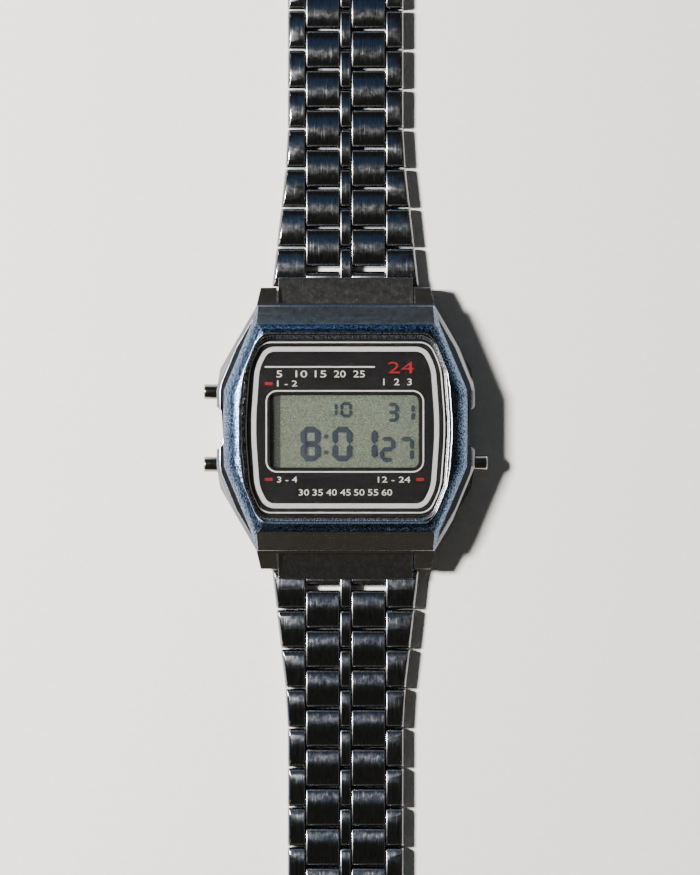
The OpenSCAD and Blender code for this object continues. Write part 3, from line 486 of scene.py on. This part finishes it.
# %% Dress the buttons and the bars
for node in frame["nodes"]:
    if node in ("button_upper_left", "button_lower_left", "button_lower_right"):
        dress(node, "button_metal", button_steel, 0.05)
    elif node.startswith("spring_bar"):
        dress(node, "steel_pin", pin_steel, 0.04, pin_steel)
    elif node.startswith("end_link"):
        dress(node, "steel_clasp", end_steel)

# %% Dress the links
OUTER_COLUMN = 5.3 * MM
TOP, SIDE = 0, 2

links = [name for name in frame["nodes"] if name.startswith("link_")]
for node in links:
    row = dress(node, "steel_link", link_steel, 0.1)
    row.data.materials.append(outer_steel)
    for face in row.data.polygons:
        if face.material_index == TOP and abs(face.center.x) > OUTER_COLUMN:
            face.material_index = SIDE
print("links dressed:", len(links))

# %% Dress the clasp
for node in ("clasp_cover", "clasp_blade", "clasp_slide", "clasp_lock_lever"):
    dress(node, "steel_clasp", clasp_steel, 0.06)
for node in ("clasp_fold_pin", "clasp_slide_pin", "clasp_lock_pin"):
    dress(node, "steel_pin", pin_steel, 0.05, pin_steel)
print("clasp pieces:", [name for name in frame["nodes"] if name.startswith("clasp")])

# %% [markdown]
# ## The back
# The back is a pressed plate held by four cross-head screws. It is brushed across and bare.

# %% Dress the back and its screws
back = dress("case_back", "steel_back", back_steel, 0.08)
screws = dress("back_screws", "steel_pin", pin_steel, 0.03)
print("back and screw faces:", len(back.data.polygons), len(screws.data.polygons))

# %% [markdown]
# ## The crystal
# The pane is a flat sheet with a small ground bevel round its upper edge. It is a CAD solid of
# the right shape, so it only needs its bevel and its glass, and it must let light through. It
# casts no shadow, and it hides from reflections, so what lies under it mirrors the room.

# %% Grind the crystal's edge
crystal = dress("crystal", "crystal_glass", crystal_glass, 0.05, crystal_glass)
crystal.visible_shadow = False
crystal.visible_glossy = False
print("crystal", [round(side / MM, 1) for side in crystal.dimensions], "mm")

# %% [markdown]
# ## Print on the dial
# Screen printing lays ink about 0.02 mm thick on the dial. A ring is a twelve-cornered plate
# with rounded corners, drawn in by the width of its line, and its middle is then deleted. The
# strip that is left is pulled up into a thin solid. Both rings are set a hair off the middle of
# the case, to follow the photograph.

# %% Lay ink on the dial
DIAL_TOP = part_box("dial_plate")[1].z
INK = 0.02 * MM


def lay_ink(piece, ink):
    """Pulls a flat shape on the dial up into ink, and gives it its colour."""
    choose(piece)
    bpy.ops.object.mode_set(mode="EDIT")
    bpy.ops.mesh.select_all(action="SELECT")
    bpy.ops.mesh.extrude_region_move(TRANSFORM_OT_translate={"value": (0, 0, INK)})
    bpy.ops.mesh.select_all(action="SELECT")
    bpy.ops.mesh.normals_make_consistent(inside=False)
    bpy.ops.object.mode_set(mode="OBJECT")
    piece.data.materials.clear()
    piece.data.materials.append(ink)
    return piece


def cut_to_line(width):
    """Draws a flat shape in by the width of a line, in mm, and deletes its middle."""
    bpy.ops.mesh.inset(thickness=width * MM)
    bpy.ops.mesh.delete(type="FACE")
    bpy.ops.object.mode_set(mode="OBJECT")


print("the dial's face lies at", round(DIAL_TOP / MM, 2), "mm")


# %% Print the two rings
PRINT_SHIFT = (-0.05, 0.1)
RING_CORNER = 6


def ring(name, quarter, line, ink, radius):
    """A printed line round the dial. Its quarter is three corners from 12 to 3 o'clock, in mm."""
    x, y = PRINT_SHIFT
    outline = quarter + [(a, -b) for a, b in reversed(quarter)]
    outline += [(-a, -b) for a, b in quarter] + [(-a, b) for a, b in reversed(quarter)]
    bpy.ops.mesh.primitive_circle_add(vertices=len(outline), fill_type="NGON")
    piece = bpy.context.active_object
    piece.name = name
    for corner, (a, b) in zip(piece.data.vertices, reversed(outline)):
        corner.co = ((a + x) * MM, (b + y) * MM, DIAL_TOP)
    bpy.ops.object.mode_set(mode="EDIT")
    bpy.ops.mesh.select_all(action="SELECT")
    bpy.ops.mesh.bevel(offset=radius * MM, segments=RING_CORNER, affect="VERTICES")
    bpy.ops.mesh.select_all(action="SELECT")
    bpy.ops.mesh.normals_make_consistent(inside=False)
    cut_to_line(line)
    return lay_ink(piece, ink)


thin_ring = ring("ring_thin", [(10.95, 11.15), (12.48, 7.9), (12.97, 1.6)], 0.15, ink_white, 1.2)
thick_ring = ring("ring_thick", [(10.4, 10.5), (11.75, 7.9), (12.2, 1.6)], 0.62, ink_grey, 1.1)
print("ring widths", [round(r.dimensions.x / MM, 2) for r in (thin_ring, thick_ring)])

# %% Print the frame of the window, the rule and the red marks
FRAME_CENTRE = (-0.1, -0.4)
FRAME_HALF = (10.3, 5.35)
FRAME_CORNER = 8


def bar(name, x, y, width, length, ink):
    """A printed bar, centred at x and y, in mm."""
    bpy.ops.mesh.primitive_plane_add(size=1, location=(x * MM, y * MM, DIAL_TOP))
    piece = bpy.context.active_object
    piece.name = name
    piece.scale = (width * MM, length * MM, 1)
    bpy.ops.object.transform_apply(location=True, scale=True)
    return lay_ink(piece, ink)


def rounded_frame(name, centre, half, radius, line, z, ink):
    """A line of a width round a rectangle with round corners, all in mm but the height."""
    bpy.ops.mesh.primitive_plane_add(size=2, location=(centre[0] * MM, centre[1] * MM, z))
    piece = bpy.context.active_object
    piece.name = name
    piece.scale = (half[0] * MM, half[1] * MM, 1)
    bpy.ops.object.transform_apply(location=True, scale=True)
    bpy.ops.object.mode_set(mode="EDIT")
    bpy.ops.mesh.select_all(action="SELECT")
    bpy.ops.mesh.bevel(offset=radius * MM, segments=FRAME_CORNER, affect="VERTICES")
    bpy.ops.mesh.select_all(action="SELECT")
    cut_to_line(line)
    return lay_ink(piece, ink)


window_frame = rounded_frame("window_frame", FRAME_CENTRE, FRAME_HALF, 1.5, 0.17, DIAL_TOP,
                             ink_white)
rule = bar("rule", -3.35, 7.98, 14.3, 0.18, ink_white)
DASHES = [(-10.0, 5.8), (-10.0, -6.65), (9.7, -6.65)]
dashes = [bar("dash", x, y, 1.0, 0.4, ink_red) for x, y in DASHES]
print("the window's frame is", [round(side / MM, 1) for side in window_frame.dimensions], "mm")

# %% [markdown]
# Numbers are text objects. Each is turned into a mesh while it still lies at the origin, is
# stretched to the wide figures of instrument print, and only then takes its place. Two scales in
# steps of five run along the top and the foot of the dial, and plain numbers stand beside the
# red marks.

# %% Print the numbers
def number(text, x, y, height, width, ink):
    """Prints a number that starts at x, stands on y and fills a height and a width, in mm."""
    bpy.ops.object.text_add()
    piece = bpy.context.active_object
    piece.name = "number"
    piece.data.body = text
    piece.data.resolution_u = 3
    bpy.ops.object.convert(target="MESH")
    low = [min(v.co[i] for v in piece.data.vertices) for i in (0, 1)]
    high = [max(v.co[i] for v in piece.data.vertices) for i in (0, 1)]
    stretch = (width * MM / (high[0] - low[0]), height * MM / (high[1] - low[1]))
    piece.scale = (stretch[0], stretch[1], 1)
    piece.location = (x * MM - low[0] * stretch[0], y * MM - low[1] * stretch[1], DIAL_TOP)
    bpy.ops.object.transform_apply(location=True, scale=True)
    return lay_ink(piece, ink)


SCALE_TOP = ["5", "10", "15", "20", "25"]
SCALE_FOOT = ["30", "35", "40", "45", "50", "55", "60"]
numbers = [number("24", 5.5, 7.15, 1.5, 3.4, ink_red),
           number("1  2  3", 4.9, 5.6, 0.85, 3.7, ink_white),
           number("12 - 24", 4.2, -7.05, 0.75, 4.2, ink_white),
           number("1 - 2", -8.9, 5.45, 0.75, 2.6, ink_white),
           number("3 - 4", -8.9, -7.05, 0.75, 2.6, ink_white)]
for place, text in enumerate(SCALE_TOP):
    numbers.append(number(text, -9.0 + 2.5 * place, 6.62, 0.88, 0.75 * len(text), ink_white))
for place, text in enumerate(SCALE_FOOT):
    numbers.append(number(text, -6.1 + 1.8 * place, -8.75, 0.82, 1.35, ink_white))
print("numbers:", len(numbers))

# %% [markdown]
# A screen prints one ink at a time, so all that is printed in one ink is joined into one piece.
# It moves with the case.

# %% Join the print by its ink
def print_together(name, inked):
    """Joins all that is printed in one ink into one piece on the case's body."""
    choose(*inked)
    bpy.ops.object.join()
    inked[0].name = name
    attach(inked[0], "case")
    return inked[0]


printed = [thin_ring, thick_ring, window_frame, rule] + dashes + numbers
sheets = {ink.name: [piece for piece in printed if piece.data.materials[0] == ink]
          for ink in (ink_white, ink_grey, ink_red)}
for ink_name, inked in sheets.items():
    print(ink_name, len(print_together("printed_" + ink_name, inked).data.polygons), "faces")

# %% Lacquer the dial
dial = dress("dial_plate", "dial_print", dial_black, 0.05, dial_black)
print("dial", [round(side / MM, 1) for side in dial.dimensions], "mm")

# %% [markdown]
# ## The display
# The liquid crystals lie between two panes, and the foil is behind the lower one. A thin black
# mask lies on the upper pane and gives the window its round corners. Beside the digits a dark grey
# strip lies on the foil. It is painted shade for the shaded edge of the display, and half of it
# also lies in the real shadow of the dial's edge. A film of air keeps the panes off the foil,
# because two faces in one place flicker black. Like the crystal, the panes cast no shadow, and
# light that the foil scatters passes them as if they weren't there.

# %% Measure the display and lay its mask
panel_low, panel_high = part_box("lcd_panel")
SEAL_MARGIN = 1 * MM
FOIL_TOP = panel_high.z - 0.2 * MM
LIQUID_Z = FOIL_TOP + 0.09 * MM
SHADE_STRIP_EDGE = -8.48 * MM
AIR = 0.04 * MM
MASK_LIFT = 0.03 * MM
MASK_HALF = (10.6, 5.7)
PANE_EDGE = 0.06 * MM

mask = rounded_frame("window_mask", FRAME_CENTRE, MASK_HALF, 1.8, 1.0, panel_high.z + MASK_LIFT,
                     dial_black)
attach(mask, "case")
print("the foil lies at", round(FOIL_TOP / MM, 2), "mm")


# %% Build the foil, the panes and the painted shade strip
def pane(name, low, high, finish):
    """A flat pane between two corners, with its edges broken by up to a third of its height."""
    bpy.ops.mesh.primitive_cube_add(size=1, location=(low + high) / 2)
    piece = bpy.context.active_object
    piece.name = name
    piece.scale = high - low
    bpy.ops.object.transform_apply(location=True, scale=True)
    bpy.ops.object.mode_set(mode="EDIT")
    bpy.ops.mesh.select_all(action="SELECT")
    bpy.ops.mesh.bevel(offset=min(PANE_EDGE, (high.z - low.z) / 3), segments=2)
    bpy.ops.object.mode_set(mode="OBJECT")
    piece.data.materials.append(finish)
    smooth_metal(piece)
    return piece


near, far = panel_low.y + SEAL_MARGIN, panel_high.y - SEAL_MARGIN
display_foil = pane("display_foil", panel_low, Vector((panel_high.x, panel_high.y, FOIL_TOP)), foil)
stand_for(display_foil, "lcd_glass", "lcd_panel")
display_panes = pane("display_panes", Vector((panel_low.x, near, FOIL_TOP + AIR)),
                     Vector((panel_high.x, far, panel_high.z)), pane_glass)
display_panes.visible_shadow = False
display_panes.visible_diffuse = False
# Painted shade: a dark grey strip on the foil beside the digits stands in for the display's shaded
# edge.
display_shade_strip = pane("display_shade_strip", Vector((panel_low.x, near, FOIL_TOP)),
                    Vector((SHADE_STRIP_EDGE, far, FOIL_TOP + AIR / 2)), shade_strip_grey)
for piece in (display_panes, display_shade_strip):
    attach(piece, "case")
print("foil, panes and seal:", [len(piece.data.polygons)
                                for piece in (display_foil, display_panes, display_shade_strip)])

# %% [markdown]
# A digit has seven bars. One bar is a slim plate with pointed ends, modelled once. Every other
# bar is a copy of it, stretched to its length and turned upright where it has to be.

# %% Make one bar of a digit
TIP = 0.2
BAR_DEPTH = 0.03 * MM

bpy.ops.mesh.primitive_circle_add(vertices=6, fill_type="NGON")
first_bar = bpy.context.active_object
tips = [(-0.5, 0), (-0.5 + TIP, -0.5), (0.5 - TIP, -0.5), (0.5, 0), (0.5 - TIP, 0.5),
        (-0.5 + TIP, 0.5)]
for corner, (x, y) in zip(first_bar.data.vertices, tips):
    corner.co = (x, y, 0)
bpy.ops.object.mode_set(mode="EDIT")
bpy.ops.mesh.select_all(action="SELECT")
bpy.ops.mesh.extrude_region_move(TRANSFORM_OT_translate={"value": (0, 0, BAR_DEPTH)})
bpy.ops.mesh.select_all(action="SELECT")
bpy.ops.mesh.normals_make_consistent(inside=False)
bpy.ops.object.mode_set(mode="OBJECT")
first_bar.data.materials.append(liquid)
print("a bar has", len(first_bar.data.polygons), "faces")


# %% Copy it to a place
def lay_bar(x, y, length, thick, upright):
    """Copies the bar to a place on the display, in mm."""
    piece = first_bar.copy()
    piece.data = first_bar.data.copy()
    bpy.context.scene.collection.objects.link(piece)
    piece.scale = (length * MM, thick * MM, 1)
    piece.rotation_euler.z = math.radians(90) if upright else 0
    piece.location = (x * MM, y * MM, LIQUID_Z)
    choose(piece)
    bpy.ops.object.transform_apply(location=True, rotation=True, scale=True)
    return piece


# %% [markdown]
# The bars are named as an electronics engineer names them: a at the top, then clockwise to f,
# and g across the middle. A numeral is the list of the bars that are lit. Each row of the display
# is its numerals and where they start, then their foot, width, height and stroke, all in mm.

# %% Write the time and the date
LIT = {"0": "abcdef", "1": "bc", "2": "abged", "3": "abgcd", "7": "abc", "8": "abcdefg"}
BAR_GAP = 0.01


def digit(numeral, left, foot, width, height, thick):
    """Lays the lit bars of a numeral in a cell whose lower left corner is given, in mm."""
    x, y = left + width / 2, foot + height / 2
    side, top = (width - thick) / 2, (height - thick) / 2
    flat, tall = 2 * side - 2 * BAR_GAP, top - 2 * BAR_GAP
    places = {"a": (x, y + top, flat, False), "g": (x, y, flat, False),
              "d": (x, y - top, flat, False),
              "b": (x + side, y + top / 2, tall, True), "c": (x + side, y - top / 2, tall, True),
              "f": (x - side, y + top / 2, tall, True), "e": (x - side, y - top / 2, tall, True)}
    return [lay_bar(px, py, size, thick, upright)
            for px, py, size, upright in (places[bar_name] for bar_name in LIT[numeral])]


HOURS_AND_MINUTES = ([("8", -5.9), ("0", -1.74), ("1", 1.5)], -4.33, 2.66, 4.56, 0.8)
SECONDS = ([("2", 4.44), ("7", 6.89)], -4.41, 2.05, 3.32, 0.6)
DAY = ([("3", 5.35), ("1", 7.43)], 0.8, 1.6, 2.53, 0.5)
MONTH = ([("1", -2.61), ("0", -0.71)], 1.38, 1.6, 2.04, 0.44)
COLON_X, COLON_DOTS = -2.52, (-1.08, -3.12)

bars = []
for numerals, foot, width, height, thick in (HOURS_AND_MINUTES, SECONDS, DAY, MONTH):
    for numeral, left in numerals:
        bars += digit(numeral, left, foot, width, height, thick)
for y in COLON_DOTS:
    bars.append(lay_bar(COLON_X, y, 0.66, 0.56, False))
bpy.data.objects.remove(first_bar)
choose(*bars)
bpy.ops.object.join()
digits = bars[0]
digits.name = "display_digits"
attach(digits, "case")
print("bars lit:", len(digits.data.polygons) // 8)

# %% [markdown]
# ## The inner pieces
# The movement's shapes are right as they come from the CAD model, so they keep their meshes and
# only take their finishes.

# %% Finish the movement
inner_finish = {
    "lcd_connectors": strip_rubber, "module_frame": black_plastic, "circuit_board": board_green,
    "lamp": lamp_plastic, "battery": cell_steel, "battery_clip": wire_steel,
    "buzzer_disc": brass, "buzzer_spring": brass, "switch_contacts": brass,
    "back_gasket": seal_rubber, "button_seals": seal_rubber,
}
for node in frame["nodes"]:
    if node.startswith("button_spring"):
        inner_finish[node] = wire_steel
    elif node.startswith("button_clip"):
        inner_finish[node] = pin_steel
for node, finish in inner_finish.items():
    mesh = frame["nodes"][node].data
    mesh.materials.clear()
    mesh.materials.append(finish)
print("inner pieces finished:", len(inner_finish))

# %% [markdown]
# ## Table and light
# The table is pale paper, a hair below the case back so that no two faces lie in one place. One
# small soft lamp stands to the left and a little towards 12 o'clock, so that each domed link
# shows one line of light and the shadow falls to the right.

# %% Lay the table
TABLE_GAP = 0.03 * MM

bpy.ops.mesh.primitive_plane_add(size=4, location=(0, 0, -TABLE_GAP))
table = bpy.context.active_object
table.name = "table"
table.data.materials.append(fine_grain("table_paper", "F0EFED", "F5F4F2", 0.8, 0.85, 0.01))
print("the table is", round(table.dimensions.x), "m wide")

# %% Hang the lamp
LAMP_AWAY = 0.5
LAMP_HEIGHT = math.radians(50)
LAMP_TURN = math.radians(9)
LAMP_SIZE = 0.07
LAMP_WATTS = 8.6

towards_lamp = Vector((-math.cos(LAMP_TURN) * math.cos(LAMP_HEIGHT),
                       math.sin(LAMP_TURN) * math.cos(LAMP_HEIGHT), math.sin(LAMP_HEIGHT)))
bpy.ops.object.light_add(type="AREA", location=towards_lamp * LAMP_AWAY)
lamp = bpy.context.active_object
lamp.name = "key_lamp"
lamp.rotation_euler = towards_lamp.to_track_quat("Z", "Y").to_euler()
lamp.data.size = LAMP_SIZE
lamp.data.energy = LAMP_WATTS
lamp.data.color = linear("FFFAF3")[:3]
lamp.visible_camera = False
print("the lamp hangs", round(lamp.location.z, 2), "m above the table")

# %% [markdown]
# Polished metal is only as good as what it mirrors. The room is dark from the horizon up to the
# camera, which keeps the flat steel deep, and under the horizon it is as pale as the table.
# Three cold windows with soft edges break the dark. One stands low at 9 o'clock and one low at
# 12 o'clock, and they show in the rounded ring and in the slopes. The third is faint and high
# up, a little towards 12 o'clock, and it shows in the domes of the links.

# %% Paint the room in bands, from below to overhead
room = bpy.data.worlds.new("studio")
room.use_nodes = True
bpy.context.scene.world = room
ROOM_BANDS = [(-1.0, "B8B6B2"), (-0.02, "B8B6B2"), (0.04, "504D47"), (0.4, "42403B"),
              (0.85, "403E39"), (1.0, "3A3936")]
direction = add_node(room, "ShaderNodeTexCoord", {}).outputs["Generated"]
height = add_node(room, "ShaderNodeSeparateXYZ", {"Vector": direction}).outputs["Z"]
upward = add_node(room, "ShaderNodeMapRange", {"Value": height, "From Min": -1.0})
bands = add_node(room, "ShaderNodeValToRGB", {"Fac": upward.outputs[0]})
while len(bands.color_ramp.elements) < len(ROOM_BANDS):
    bands.color_ramp.elements.new(0.5)
for stop, (z, colour) in zip(bands.color_ramp.elements, ROOM_BANDS):
    stop.position, stop.color = (z + 1) / 2, linear(colour)
print("bands:", len(bands.color_ramp.elements))

# %% [markdown]
# A window is a direction, the half angles in degrees where it is fully bright and where it ends,
# and a colour. How near a direction of the room lies to the window is the cosine between them.

# %% Open the windows
WINDOWS = [(Vector((-1, 0.1, 0.12)), 10, 26, "7E9CC6"), (Vector((0, 1, 0.04)), 10, 22, "9CCBFF"),
           (Vector((-0.05, 0.24, 0.97)), 7, 13, "4A6485")]

light = bands.outputs["Color"]
for towards, full, edge, colour in WINDOWS:
    nearness = add_node(room, "ShaderNodeVectorMath", {0: direction, 1: towards.normalized()},
                        operation="DOT_PRODUCT").outputs["Value"]
    opening = add_node(room, "ShaderNodeMapRange",
                       {"Value": nearness, "From Min": math.cos(math.radians(edge)),
                        "From Max": math.cos(math.radians(full))},
                       interpolation_type="SMOOTHSTEP").outputs[0]
    light = add_node(room, "ShaderNodeMixRGB", {"Fac": opening, "Color1": light,
                                                "Color2": linear(colour)}).outputs["Color"]
room.node_tree.links.new(light, room.node_tree.nodes["Background"].inputs["Color"])
room.node_tree.nodes["Background"].inputs["Strength"].default_value = 1.0
print("windows:", len(WINDOWS))
